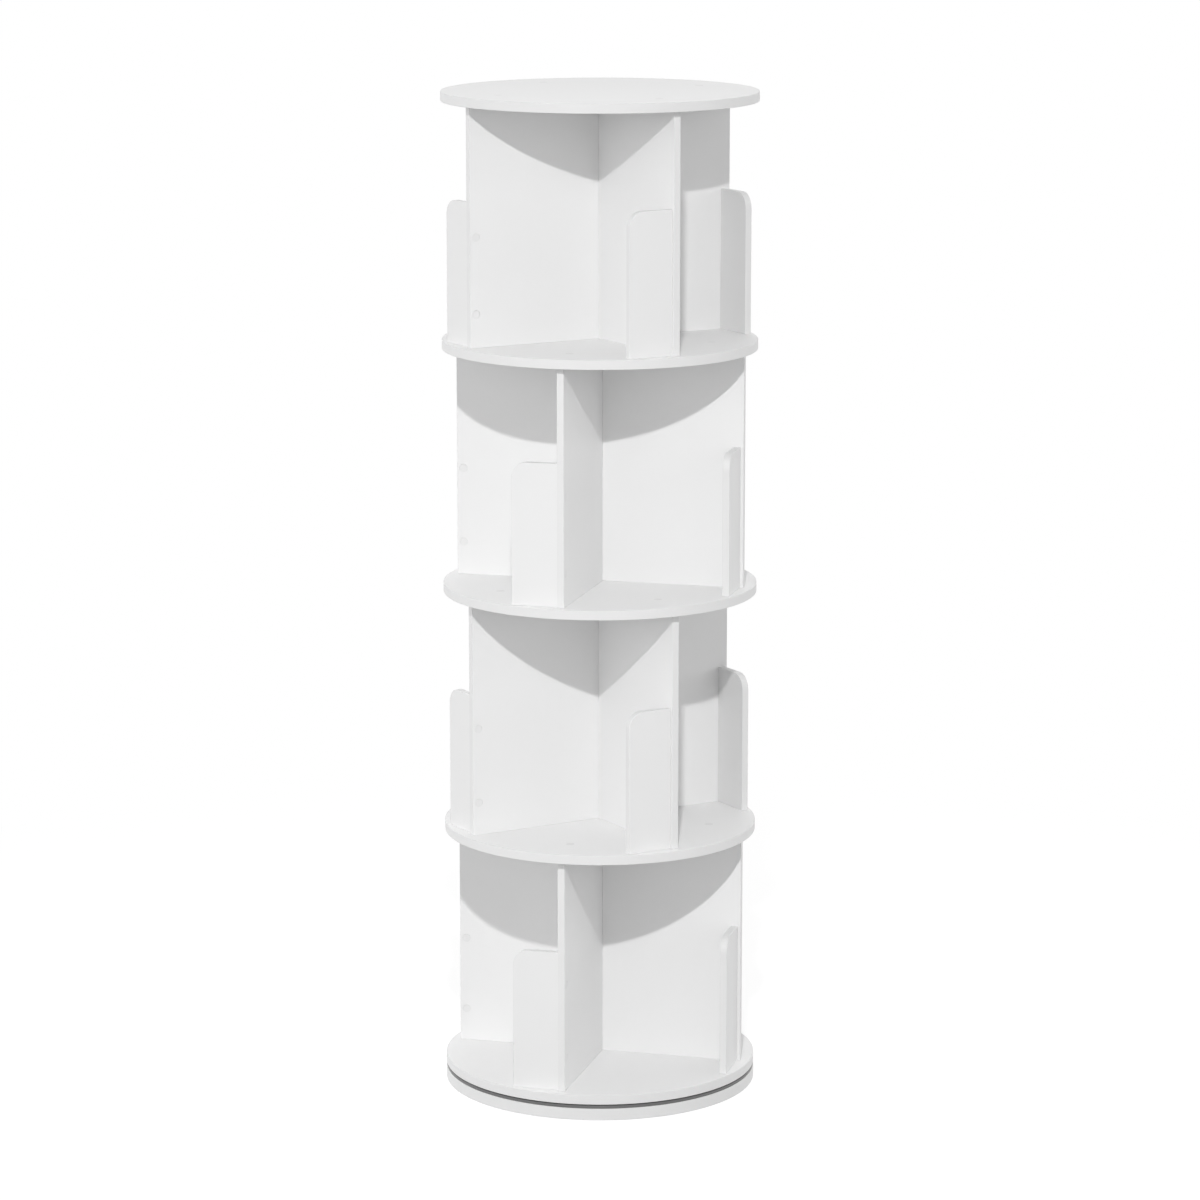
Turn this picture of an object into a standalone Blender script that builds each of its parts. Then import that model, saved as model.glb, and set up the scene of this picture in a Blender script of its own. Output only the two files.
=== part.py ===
"""A free-standing revolving bookcase of white boards.

Round shelves carry crosses of two slotted dividers. The whole stack of tiers turns on a ball turntable
that is fixed to a round base. Lengths are in metres, +Z is up, and the origin is the middle of the base's
underside. Every tier is turned half a compartment from the tier under it.
"""

import math

import bmesh
import bpy
from mathutils import Matrix, Vector

# Driving dimensions: round boards
BOARD_DIAMETER = 0.400
SHELF_THICKNESS = 0.012
BASE_THICKNESS = 0.015

# Driving dimensions: tiers, counted from the bottom
TIER_COUNT = 4
TIER_HEIGHT = 0.300
TIER_TURN = math.radians(45)

# Driving dimensions: dividers, and the low fences that keep books in
DIVIDER_THICKNESS = 0.009
DIVIDER_INSET = 0.0115
FENCE_THICKNESS = 0.009
FENCE_LENGTH = 0.060
FENCE_HEIGHT = 0.180
FENCE_SETBACK = 0.004
FENCE_CORNER_RADIUS = 0.020

# Driving dimensions: turntable
RACE_DIAMETER = 0.120
RACE_DEPTH = 0.0005
RACE_SIDE_PLAY = 0.0004
BALL_DIAMETER = 0.0036
BALL_COUNT = 20
BALL_PLAY = 0.0001
CAGE_WIDTH = 0.0064
CAGE_THICKNESS = 0.0008
PLATE_THICKNESS = 0.001
PLATE_LIP = 0.008
PLATE_FLANGE = 0.025
FLANGE_HOLE_OFFSET = 0.014

# Driving dimensions: the grey ring that closes the gap round the turntable
TRIM_RING_INSET = 0.0008
TRIM_RING_WIDTH = 0.006
TRIM_RING_PLAY = 0.0014

# Driving dimensions: screws that hold each shelf down on the dividers under it
SHELF_SCREW_DIAMETER = 0.004
SHELF_SCREW_LENGTH = 0.040
SHELF_SCREW_HEAD_DIAMETER = 0.008
SHELF_SCREW_HEAD_HEIGHT = 0.0024
SHELF_SCREW_END_DISTANCE = 0.0435
COVER_CAP_DEPTH = 0.0012

# Driving dimensions: turntable screws, and bolts up through the base
PLATE_SCREW_DIAMETER = 0.0036
PLATE_SCREW_HEAD_DIAMETER = 0.007
PLATE_SCREW_HEAD_HEIGHT = 0.0018
PLATE_SCREW_COVER = 0.003
BASE_BOLT_DIAMETER = 0.005
BASE_BOLT_HEAD_DIAMETER = 0.009
BASE_BOLT_HEAD_HEIGHT = 0.003
BASE_BOLT_RECESS = 0.001
BASE_BOLT_CHAMFER = 0.0005

# Driving dimensions: the hexagon socket in every screw and bolt head
HEX_KEY_WIDTH = 0.003
SOCKET_DEPTH = 0.0012

# Clearances: between pieces that touch, and round a screw in its hole
SEAT_GAP = 0.0003
HOLE_GAP = 0.0004

# How finely round shapes are cut
BOARD_SEGMENTS = 96
RACE_SEGMENTS = 48
SCREW_SEGMENTS = 10
CORNER_SEGMENTS = 6
BALL_SEGMENTS = 8
BALL_RINGS = 6
HEX_SIDES = 6
SHARP_ANGLE = math.radians(30)
MERGE_DISTANCE = 1e-6

# A cross of two boards has four arms, and each arm has its fence and its screw
QUARTER_TURN = math.radians(90)
ARM_ANGLES = (0.0, QUARTER_TURN, 2 * QUARTER_TURN, 3 * QUARTER_TURN)

# Radii worked out from the driving dimensions
BOARD_RADIUS = BOARD_DIAMETER / 2
DIVIDER_REACH = BOARD_RADIUS - DIVIDER_INSET
DIVIDER_HEIGHT = TIER_HEIGHT - 2 * SEAT_GAP
SHELF_SCREW_RADIUS = DIVIDER_REACH - SHELF_SCREW_END_DISTANCE
RACE_RADIUS = RACE_DIAMETER / 2
BALL_RADIUS = BALL_DIAMETER / 2
UPPER_SCREW_RADIUS = RACE_RADIUS - FLANGE_HOLE_OFFSET
BASE_BOLT_RADIUS = RACE_RADIUS + FLANGE_HOLE_OFFSET
TRIM_RING_RADIUS = BOARD_RADIUS - TRIM_RING_INSET

# Heights worked out from the driving dimensions, from the floor up
PLATE_SPACING = BALL_DIAMETER - 2 * RACE_DEPTH + 2 * BALL_PLAY
LOWER_PLATE_BOTTOM = BASE_THICKNESS + SEAT_GAP
LOWER_PLATE_TOP = LOWER_PLATE_BOTTOM + PLATE_THICKNESS
UPPER_PLATE_BOTTOM = LOWER_PLATE_TOP + PLATE_SPACING
UPPER_PLATE_TOP = UPPER_PLATE_BOTTOM + PLATE_THICKNESS
BALL_CENTRE_HEIGHT = (LOWER_PLATE_TOP + UPPER_PLATE_BOTTOM) / 2
BOTTOM_SHELF_HEIGHT = UPPER_PLATE_TOP + SEAT_GAP
TRIM_RING_BOTTOM = BASE_THICKNESS + SEAT_GAP
TRIM_RING_HEIGHT = BOTTOM_SHELF_HEIGHT - TRIM_RING_PLAY - TRIM_RING_BOTTOM
TIER_PITCH = SHELF_THICKNESS + TIER_HEIGHT

WHITE_BOARD = {"colour": (0.86, 0.86, 0.86, 1), "roughness": 0.45, "metallic": 0.0}
ZINC_STEEL = {"colour": (0.62, 0.63, 0.64, 1), "roughness": 0.35, "metallic": 1.0}
GREY_PLASTIC = {"colour": (0.16, 0.16, 0.165, 1), "roughness": 0.40, "metallic": 0.0}


def clear_scene():
    for old in list(bpy.data.objects):
        bpy.data.objects.remove(old, do_unlink=True)


def shelf_bottom(level):
    """Height of the underside of a round shelf, where level 0 is the bottom shelf."""
    return BOTTOM_SHELF_HEIGHT + level * TIER_PITCH


def tier_floor(tier):
    """Height of the shelf top that a tier stands on."""
    return shelf_bottom(tier) + SHELF_THICKNESS


def tier_angle(tier):
    return tier % 2 * TIER_TURN


def shelf_screw_seat():
    """Height of a shelf screw's head seat above its shelf's underside."""
    return SHELF_THICKNESS - COVER_CAP_DEPTH - SHELF_SCREW_HEAD_HEIGHT


def on_circle(radius, angle, height=0.0):
    return Vector((radius * math.cos(angle), radius * math.sin(angle), height))


def round_the_arms(radius, height=0.0):
    """One point on each arm, at the same radius and height."""
    return [on_circle(radius, angle, height) for angle in ARM_ANGLES]


def finish_mesh(name, bm):
    """Turns a bmesh into a mesh with its faces pointing out, round parts smooth and edges sharp."""
    bmesh.ops.recalc_face_normals(bm, faces=bm.faces)
    mesh = bpy.data.meshes.new(name)
    bm.to_mesh(mesh)
    bm.free()
    mesh.shade_smooth()
    mesh.set_sharp_from_angle(angle=SHARP_ANGLE)
    return mesh


def disc_mesh(name, radius, thickness, segments):
    """A round plate standing on Z = 0."""
    bm = bmesh.new()
    lift = Matrix.Translation((0, 0, thickness / 2))
    bmesh.ops.create_cone(
        bm, cap_ends=True, segments=segments, radius1=radius, radius2=radius, depth=thickness, matrix=lift
    )
    return finish_mesh(name, bm)


def turned_mesh(name, profile, segments, closed):
    """Spins a (radius, height) outline about Z. An open outline starts and ends on the axis."""
    bm = bmesh.new()
    points = [bm.verts.new((radius, 0, height)) for radius, height in profile]
    edges = [bm.edges.new(pair) for pair in zip(points, points[1:])]
    if closed:
        edges.append(bm.edges.new((points[-1], points[0])))
    bmesh.ops.spin(
        bm,
        geom=points + edges,
        cent=(0, 0, 0),
        axis=(0, 0, 1),
        angle=math.tau,
        steps=segments,
        use_merge=True,
    )
    bmesh.ops.remove_doubles(bm, verts=bm.verts, dist=MERGE_DISTANCE)
    return finish_mesh(name, bm)


def slab_mesh(name, outline, push):
    """Extrudes a flat outline of 3-D points by the vector push."""
    bm = bmesh.new()
    face = bm.faces.new([bm.verts.new(point) for point in outline])
    grown = bmesh.ops.extrude_face_region(bm, geom=[face])
    moved = [item for item in grown["geom"] if isinstance(item, bmesh.types.BMVert)]
    bmesh.ops.translate(bm, verts=moved, vec=push)
    return finish_mesh(name, bm)


def pegs_mesh(name, feet, radius, height, sides):
    """Upright many-sided pegs, each standing on its own foot: cutters whose flats lie at the radius."""
    bm = bmesh.new()
    corner = radius / math.cos(math.pi / sides)
    for foot in feet:
        middle = Matrix.Translation(foot + Vector((0, 0, height / 2)))
        bmesh.ops.create_cone(
            bm, cap_ends=True, segments=sides, radius1=corner, radius2=corner, depth=height, matrix=middle
        )
    return finish_mesh(name, bm)


def combined(mesh, tool, operation):
    """The mesh after one exact Boolean with a tool mesh in the same place."""
    body = bpy.data.objects.new("body", mesh)
    cutter = bpy.data.objects.new("cutter", tool)
    cutter.hide_render = True
    cutter.display_type = "WIRE"
    for item in (body, cutter):
        bpy.context.scene.collection.objects.link(item)
    step = body.modifiers.new(operation.lower(), "BOOLEAN")
    step.operation = operation
    step.solver = "EXACT"
    step.object = cutter
    view = bpy.context.evaluated_depsgraph_get()
    result = bpy.data.meshes.new_from_object(body.evaluated_get(view))
    result.name = mesh.name
    for item in (body, cutter):
        bpy.data.objects.remove(item, do_unlink=True)
    return result


def drilled(mesh, feet, diameter, depth):
    """The mesh with clearance holes for a diameter, which start at each foot and go up by depth."""
    pegs = pegs_mesh("drill", feet, diameter / 2 + HOLE_GAP, depth, SCREW_SEGMENTS)
    return combined(mesh, pegs, "DIFFERENCE")


def screw_mesh(name, diameter, length, head_diameter, head_height, tip_length, tip_radius):
    """A screw with its head's seat on Z = 0, its shank pointing down and a hexagon socket in its head."""
    shank = diameter / 2
    profile = [
        (0, head_height),
        (head_diameter / 2, head_height),
        (head_diameter / 2, 0),
        (shank, 0),
        (shank, tip_length - length),
        (tip_radius, -length),
        (0, -length),
    ]
    body = turned_mesh(name, profile, SCREW_SEGMENTS, closed=False)
    socket_floor = Vector((0, 0, head_height - SOCKET_DEPTH))
    socket = pegs_mesh("socket", [socket_floor], HEX_KEY_WIDTH / 2, 2 * SOCKET_DEPTH, HEX_SIDES)
    return combined(body, socket, "DIFFERENCE")


def wood_screw_mesh(name, diameter, length, head_diameter, head_height):
    """A screw whose last stretch, as long as the shank is thick, narrows to half the thickness."""
    return screw_mesh(name, diameter, length, head_diameter, head_height, diameter, diameter / 4)


def material(name, finish):
    made = bpy.data.materials.new(name)
    made.use_nodes = True
    shader = made.node_tree.nodes["Principled BSDF"]
    shader.inputs["Base Color"].default_value = finish["colour"]
    shader.inputs["Roughness"].default_value = finish["roughness"]
    shader.inputs["Metallic"].default_value = finish["metallic"]
    made.diffuse_color = finish["colour"]
    return made


def add_piece(name, mesh, finish, height, angle=0.0, parent=None, spot=(0, 0)):
    """Adds one named piece, with its own material, turned about Z and set at its height."""
    item = bpy.data.objects.new(name, mesh)
    bpy.context.scene.collection.objects.link(item)
    if not mesh.materials:
        mesh.materials.append(None)
    item.material_slots[0].link = "OBJECT"
    item.material_slots[0].material = material(name, finish)
    item.location = (spot[0], spot[1], height)
    item.rotation_euler = (0, 0, angle)
    item.parent = parent
    return item


def base_board_mesh():
    """The fixed base, with bolt holes whose heads are sunk in the underside."""
    disc = disc_mesh("base_board", BOARD_RADIUS, BASE_THICKNESS, BOARD_SEGMENTS)
    feet = round_the_arms(BASE_BOLT_RADIUS, -BASE_THICKNESS)
    head_depth = BASE_BOLT_RECESS + BASE_BOLT_HEAD_HEIGHT + SEAT_GAP
    sunk = drilled(disc, feet, BASE_BOLT_HEAD_DIAMETER, BASE_THICKNESS + head_depth)
    return drilled(sunk, feet, BASE_BOLT_DIAMETER, 3 * BASE_THICKNESS)


def bottom_shelf_mesh():
    """The shelf that sits on the turntable, with blind holes for the plate screws."""
    disc = disc_mesh("bottom_shelf", BOARD_RADIUS, SHELF_THICKNESS, BOARD_SEGMENTS)
    feet = round_the_arms(UPPER_SCREW_RADIUS, -SHELF_THICKNESS)
    depth = SHELF_THICKNESS - PLATE_SCREW_COVER + SEAT_GAP
    return drilled(disc, feet, PLATE_SCREW_DIAMETER, SHELF_THICKNESS + depth)


def drilled_shelf_mesh():
    """A shelf or top with a screw hole over each arm of the cross under it, sunk for head and cap."""
    disc = disc_mesh("drilled_shelf", BOARD_RADIUS, SHELF_THICKNESS, BOARD_SEGMENTS)
    seats = round_the_arms(SHELF_SCREW_RADIUS, shelf_screw_seat() - SEAT_GAP)
    under = round_the_arms(SHELF_SCREW_RADIUS, -SHELF_THICKNESS)
    sunk = drilled(disc, seats, SHELF_SCREW_HEAD_DIAMETER, SHELF_THICKNESS)
    return drilled(sunk, under, SHELF_SCREW_DIAMETER, 3 * SHELF_THICKNESS)


def divider_mesh(name, slot_from_top):
    """One board of a cross, with a slot over half its height and a screw hole near each top corner."""
    half_slot = DIVIDER_THICKNESS / 2 + SEAT_GAP
    half_height = DIVIDER_HEIGHT / 2
    slot_end = half_height - SEAT_GAP / 2
    outline = [
        (-DIVIDER_REACH, 0),
        (DIVIDER_REACH, 0),
        (DIVIDER_REACH, DIVIDER_HEIGHT),
        (half_slot, DIVIDER_HEIGHT),
        (half_slot, slot_end),
        (-half_slot, slot_end),
        (-half_slot, DIVIDER_HEIGHT),
        (-DIVIDER_REACH, DIVIDER_HEIGHT),
    ]
    if not slot_from_top:
        outline = [(along, DIVIDER_HEIGHT - up) for along, up in reversed(outline)]
    face = DIVIDER_THICKNESS / 2
    corners = [Vector((along, -face, up)) for along, up in outline]
    board = slab_mesh(name, corners, Vector((0, DIVIDER_THICKNESS, 0)))
    tip_below_shelf = SHELF_SCREW_LENGTH - shelf_screw_seat()
    hole_floor = DIVIDER_HEIGHT - tip_below_shelf
    feet = [Vector((side * SHELF_SCREW_RADIUS, 0, hole_floor)) for side in (-1, 1)]
    return drilled(board, feet, SHELF_SCREW_DIAMETER, DIVIDER_HEIGHT)


def fence_mesh():
    """A low stop that stands out from a divider's clockwise face, with its free top corner rounded."""
    root = -DIVIDER_THICKNESS / 2 - SEAT_GAP
    free_end = -DIVIDER_THICKNESS / 2 - FENCE_LENGTH
    arc_centre = (free_end + FENCE_CORNER_RADIUS, FENCE_HEIGHT - FENCE_CORNER_RADIUS)
    outline = [(free_end, 0), (root, 0), (root, FENCE_HEIGHT)]
    for step in range(CORNER_SEGMENTS + 1):
        turn = math.pi / 2 * (1 + step / CORNER_SEGMENTS)
        outline.append(
            (
                arc_centre[0] + FENCE_CORNER_RADIUS * math.cos(turn),
                arc_centre[1] + FENCE_CORNER_RADIUS * math.sin(turn),
            )
        )
    inner_face = DIVIDER_REACH - FENCE_SETBACK - FENCE_THICKNESS
    corners = [Vector((inner_face, across, up)) for across, up in outline]
    return slab_mesh("fence", corners, Vector((FENCE_THICKNESS, 0, 0)))


def race_half_width():
    """Half the width of a race where a ball sinks below the plate's face, with its side play."""
    above = BALL_RADIUS - RACE_DEPTH + BALL_PLAY
    return math.sqrt(BALL_RADIUS**2 - above**2) + RACE_SIDE_PLAY


def plate_mesh(name, inner, outer, screw_radius, screw_diameter):
    """A pressed ring plate on Z = 0 with the ball race sunk in its top face and four screw holes."""
    half = race_half_width()
    race_floor = PLATE_THICKNESS - RACE_DEPTH
    profile = [
        (inner, 0),
        (outer, 0),
        (outer, PLATE_THICKNESS),
        (RACE_RADIUS + half, PLATE_THICKNESS),
        (RACE_RADIUS + half, race_floor),
        (RACE_RADIUS - half, race_floor),
        (RACE_RADIUS - half, PLATE_THICKNESS),
        (inner, PLATE_THICKNESS),
    ]
    ring = turned_mesh(name, profile, RACE_SEGMENTS, closed=True)
    feet = round_the_arms(screw_radius, -PLATE_THICKNESS)
    return drilled(ring, feet, screw_diameter, 3 * PLATE_THICKNESS)


def trim_ring_mesh():
    """A flat ring on Z = 0, almost as wide as the boards, that stops short of the shelf over it."""
    inner = TRIM_RING_RADIUS - TRIM_RING_WIDTH
    profile = [
        (inner, 0),
        (TRIM_RING_RADIUS, 0),
        (TRIM_RING_RADIUS, TRIM_RING_HEIGHT),
        (inner, TRIM_RING_HEIGHT),
    ]
    return turned_mesh("turntable_trim_ring", profile, BOARD_SEGMENTS, closed=True)


def flipped(mesh, height):
    """The mesh turned upside down about X, so that what was at Z = 0 lies at the given height."""
    mesh.transform(Matrix.Translation((0, 0, height)) @ Matrix.Rotation(math.pi, 4, "X"))
    return mesh


def ball_ring_mesh():
    """The balls and the thin cage that spaces them, as one ring about Z."""
    inner = RACE_RADIUS - CAGE_WIDTH / 2
    outer = RACE_RADIUS + CAGE_WIDTH / 2
    half = CAGE_THICKNESS / 2
    profile = [(inner, -half), (outer, -half), (outer, half), (inner, half)]
    cage = turned_mesh("turntable_ball_ring", profile, RACE_SEGMENTS, closed=True)
    bm = bmesh.new()
    for ball in range(BALL_COUNT):
        centre = on_circle(RACE_RADIUS, math.tau * ball / BALL_COUNT)
        bmesh.ops.create_uvsphere(
            bm,
            u_segments=BALL_SEGMENTS,
            v_segments=BALL_RINGS,
            radius=BALL_RADIUS,
            matrix=Matrix.Translation(centre),
        )
    return combined(cage, finish_mesh("balls", bm), "UNION")


def build_base():
    """The base, the ring round the gap over it, the turntable's lower plate and its bolts."""
    add_piece("base_board", base_board_mesh(), WHITE_BOARD, 0.0)
    add_piece("turntable_trim_ring", trim_ring_mesh(), GREY_PLASTIC, TRIM_RING_BOTTOM)
    lower = plate_mesh(
        "turntable_lower_plate",
        RACE_RADIUS - PLATE_LIP,
        RACE_RADIUS + PLATE_FLANGE,
        BASE_BOLT_RADIUS,
        BASE_BOLT_DIAMETER,
    )
    add_piece("turntable_lower_plate", lower, ZINC_STEEL, LOWER_PLATE_BOTTOM)
    seat = BASE_BOLT_RECESS + BASE_BOLT_HEAD_HEIGHT
    bolt = screw_mesh(
        "base_bolt",
        BASE_BOLT_DIAMETER,
        LOWER_PLATE_TOP - seat,
        BASE_BOLT_HEAD_DIAMETER,
        BASE_BOLT_HEAD_HEIGHT,
        BASE_BOLT_CHAMFER,
        BASE_BOLT_DIAMETER / 2 - BASE_BOLT_CHAMFER,
    )
    flipped(bolt, 0.0)
    for arm, spot in enumerate(round_the_arms(BASE_BOLT_RADIUS), start=1):
        add_piece(f"base_bolt_{arm}", bolt, ZINC_STEEL, seat, spot=spot)


def build_turntable(carousel):
    """The ball ring, and the upper plate with its screws, which turn with the shelves."""
    add_piece("turntable_ball_ring", ball_ring_mesh(), ZINC_STEEL, BALL_CENTRE_HEIGHT)
    upper = plate_mesh(
        "turntable_upper_plate",
        RACE_RADIUS - PLATE_FLANGE,
        RACE_RADIUS + PLATE_LIP,
        UPPER_SCREW_RADIUS,
        PLATE_SCREW_DIAMETER,
    )
    flipped(upper, PLATE_THICKNESS)
    add_piece("turntable_upper_plate", upper, ZINC_STEEL, UPPER_PLATE_BOTTOM, parent=carousel)
    seat = UPPER_PLATE_BOTTOM - SEAT_GAP
    tip = BOTTOM_SHELF_HEIGHT + SHELF_THICKNESS - PLATE_SCREW_COVER
    screw = wood_screw_mesh(
        "turntable_screw",
        PLATE_SCREW_DIAMETER,
        tip - seat,
        PLATE_SCREW_HEAD_DIAMETER,
        PLATE_SCREW_HEAD_HEIGHT,
    )
    flipped(screw, 0.0)
    for arm, spot in enumerate(round_the_arms(UPPER_SCREW_RADIUS), start=1):
        add_piece(f"turntable_screw_{arm}", screw, ZINC_STEEL, seat, parent=carousel, spot=spot)


def build_shelves(carousel):
    """The bottom shelf, the shelves between tiers and the top board."""
    add_piece("bottom_shelf", bottom_shelf_mesh(), WHITE_BOARD, shelf_bottom(0), parent=carousel)
    shelf = drilled_shelf_mesh()
    for level in range(1, TIER_COUNT + 1):
        name = "top_board" if level == TIER_COUNT else f"shelf_{level}"
        add_piece(name, shelf, WHITE_BOARD, shelf_bottom(level), tier_angle(level - 1), carousel)


def build_tiers(carousel):
    """The crosses, their fences and the screws that hold the next shelf down on them."""
    slot_up = divider_mesh("divider_slot_up", slot_from_top=True)
    slot_down = divider_mesh("divider_slot_down", slot_from_top=False)
    fence = fence_mesh()
    screw = wood_screw_mesh(
        "shelf_screw",
        SHELF_SCREW_DIAMETER,
        SHELF_SCREW_LENGTH - SEAT_GAP,
        SHELF_SCREW_HEAD_DIAMETER,
        SHELF_SCREW_HEAD_HEIGHT,
    )
    for tier in range(TIER_COUNT):
        label = f"tier_{tier + 1}"
        foot = tier_floor(tier) + SEAT_GAP
        turn = tier_angle(tier)
        add_piece(f"{label}_divider_slot_up", slot_up, WHITE_BOARD, foot, turn, carousel)
        add_piece(f"{label}_divider_slot_down", slot_down, WHITE_BOARD, foot, turn + QUARTER_TURN, carousel)
        screw_height = shelf_bottom(tier + 1) + shelf_screw_seat()
        for arm, arm_angle in enumerate(ARM_ANGLES, start=1):
            angle = turn + arm_angle
            add_piece(f"{label}_fence_{arm}", fence, WHITE_BOARD, foot, angle, carousel)
            spot = on_circle(SHELF_SCREW_RADIUS, angle)
            add_piece(f"{label}_screw_{arm}", screw, ZINC_STEEL, screw_height, angle, carousel, spot)


def main():
    clear_scene()
    carousel = bpy.data.objects.new("carousel_axis", None)
    bpy.context.scene.collection.objects.link(carousel)
    build_base()
    build_turntable(carousel)
    build_shelves(carousel)
    build_tiers(carousel)


main()
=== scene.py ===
"""Looks of a white revolving bookcase: its boards, cover caps, screws and turntable, in a white studio.

Lengths are in metres and +Z is up. Every piece stands where the frame has its solid.
"""

import math
from typing import NamedTuple

import bmesh
import bpy
from mathutils import Matrix, Vector


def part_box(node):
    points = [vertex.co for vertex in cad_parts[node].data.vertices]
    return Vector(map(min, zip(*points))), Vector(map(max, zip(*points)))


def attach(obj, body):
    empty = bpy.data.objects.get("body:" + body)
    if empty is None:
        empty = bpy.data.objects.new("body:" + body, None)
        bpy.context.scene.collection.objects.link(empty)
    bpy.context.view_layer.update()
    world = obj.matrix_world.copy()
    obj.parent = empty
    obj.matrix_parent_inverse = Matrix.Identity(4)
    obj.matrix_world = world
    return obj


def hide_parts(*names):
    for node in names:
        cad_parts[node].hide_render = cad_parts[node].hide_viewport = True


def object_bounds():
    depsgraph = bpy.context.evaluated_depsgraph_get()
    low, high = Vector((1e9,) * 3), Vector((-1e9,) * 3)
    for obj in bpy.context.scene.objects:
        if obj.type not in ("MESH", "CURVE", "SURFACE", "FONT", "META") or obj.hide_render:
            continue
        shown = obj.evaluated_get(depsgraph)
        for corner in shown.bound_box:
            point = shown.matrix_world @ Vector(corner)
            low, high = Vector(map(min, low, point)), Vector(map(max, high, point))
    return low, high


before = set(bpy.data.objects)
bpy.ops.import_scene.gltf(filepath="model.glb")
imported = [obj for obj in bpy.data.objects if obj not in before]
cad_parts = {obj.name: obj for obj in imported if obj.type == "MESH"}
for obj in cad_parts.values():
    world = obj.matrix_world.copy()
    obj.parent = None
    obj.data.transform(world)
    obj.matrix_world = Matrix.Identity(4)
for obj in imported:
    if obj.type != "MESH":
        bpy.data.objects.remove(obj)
cad_low, cad_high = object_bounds()


class Screw(NamedTuple):
    """Sizes of a screw: its thread's diameter, length and pitch, and its head's diameter and height."""

    diameter: float
    length: float
    pitch: float
    head: float
    head_height: float


# Directions
ALONG_X = Vector((1, 0, 0))
ALONG_Y = Vector((0, 1, 0))
UP = Vector((0, 0, 1))
QUARTER_TURN = math.radians(90)
HALF_TURN = math.radians(180)

# How the tiers are stacked, from the bottom up
SHELVES = ("bottom_shelf", "shelf_1", "shelf_2", "shelf_3", "top_board")
TIERS = (1, 2, 3, 4)
LOWEST_TIER = TIERS[0]
TIER_TURN = math.radians(45)
ARM_COUNT = 4

# Boards. Their main sizes are read from the frame on the lowest tier, whose arms lie along X and Y
BOARD_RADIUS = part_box("top_board")[1].x
DIVIDER_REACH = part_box("tier_1_divider_slot_up")[1].x
DIVIDER_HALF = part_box("tier_1_divider_slot_up")[1].y
FENCE_LOW, FENCE_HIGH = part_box("tier_1_fence_1")
FENCE_HEIGHT = FENCE_HIGH.z - FENCE_LOW.z
FENCE_MIDDLE = (FENCE_LOW.x + FENCE_HIGH.x) / 2
FENCE_CORNER = 0.020
EDGE_ROUND = 0.0005
RIM_ROUND = 0.0006
BAND_WIDTH = 0.0012
SEAM = 0.00015

# Screws through the shelves, into the dividers over and under them
SHELF_SCREW = Screw(diameter=0.004, length=0.0395, pitch=0.0020, head=0.008, head_height=0.0024)
SHELF_SCREW_SPOT = (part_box("tier_1_screw_1")[0].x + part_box("tier_1_screw_1")[1].x) / 2
SHELF_HEAD_SINK = 0.0036

# Screws through the dividers, into the ends of the fences
FENCE_SCREW = Screw(diameter=0.0035, length=0.030, pitch=0.0018, head=0.007, head_height=0.0020)
FENCE_SCREW_HEIGHTS = (0.042, 0.138)
FENCE_HEAD_SINK = 0.0032

# Screws of the turntable, and bolts up through the base
PLATE_SCREW = Screw(diameter=0.0036, length=0.0096, pitch=0.0012, head=0.007, head_height=0.0018)
PLATE_SCREW_SPOT = 0.046
BASE_BOLT = Screw(diameter=0.005, length=0.0122, pitch=0.0008, head=0.009, head_height=0.0030)
BASE_BOLT_SPOT = 0.074

# Heads and holes of all screws. Cutters through a board are THROUGH_CUT times as deep as it is thick
HOLE_PLAY = 0.0004
HEAD_PLAY = 0.0002
HEAD_ROUND = 0.0004
SOCKET_WIDTH = 0.003
SOCKET_DEPTH = 0.0012
SOCKET_SIDES = 6
THROUGH_CUT = 2

# Threads of all screws: core and tip as shares of their radius, half a ridge as a share of the pitch
THREAD_CORE = 0.76
THREAD_TIP = 0.3
THREAD_HALF_RIDGE = 0.25
THREAD_ROWS = 4

# Push-in caps that cover the screw heads
CAP_RADIUS = 0.0052
CAP_FLANGE = 0.0005
CAP_ROUND = 0.0002
CAP_STEM = 0.0010
CAP_STEM_RADIUS = 0.0039
CAP_SINK = 0.00006
CAP_PLAY = 0.00016

# Turntable and the grey ring round it, whose boxes are read from the frame
LOWER_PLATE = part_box("turntable_lower_plate")
UPPER_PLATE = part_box("turntable_upper_plate")
BALL_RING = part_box("turntable_ball_ring")
TRIM_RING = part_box("turntable_trim_ring")
TRIM_WIDTH = 0.006
TRIM_ROUND = 0.0004
PLATE_LIP = 0.008
PLATE_FLANGE = 0.025
PLATE_ROUND = 0.0003
RACE_RADIUS = 0.060
RACE_DEPTH = 0.0005
RACE_SPREAD = 1.3
BALL_RADIUS = (BALL_RING[1].z - BALL_RING[0].z) / 2
BALL_COUNT = 20
CAGE_HALF_WIDTH = 0.0032
CAGE_HALF_THICKNESS = 0.0004

# How finely round shapes are cut, and how far off square a face still counts as flat
BOARD_SEGMENTS = 256
PLATE_SEGMENTS = 128
CAP_SEGMENTS = 32
SCREW_SEGMENTS = 12
BALL_SEGMENTS = 24
CORNER_STEPS = 16
ROUND_STEPS = 4
ROUND_PROFILE = 0.5
SHARP_ANGLE = math.radians(30)
BOARD_SKEW = 0.01
CAGE_SKEW = 0.001

# Colours of the finishes
BOARD_WHITE = 0.79
# The fences' white is set greyer than the other boards' as painted shade on their open faces
FENCE_PAINTED_SHADE_WHITE = 0.735
# The edge band's white is darker than the faces' as painted shade on the rims, edges and fence ends
BAND_PAINTED_SHADE_WHITE = 0.705
DIVIDER_CAP_WHITE = 0.755
# The shelf caps' white is darker than the divider caps' as painted shade on the caps sunk in the shelves
SHELF_CAP_PAINTED_SHADE_WHITE = 0.71
RING_GREY = 0.12
ZINC_BRIGHT = (0.66, 0.67, 0.68, 1)
ZINC_DULL = (0.55, 0.56, 0.58, 1)
BALL_BRIGHT = (0.74, 0.75, 0.76, 1)
BALL_GREASED = (0.66, 0.66, 0.65, 1)

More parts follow.
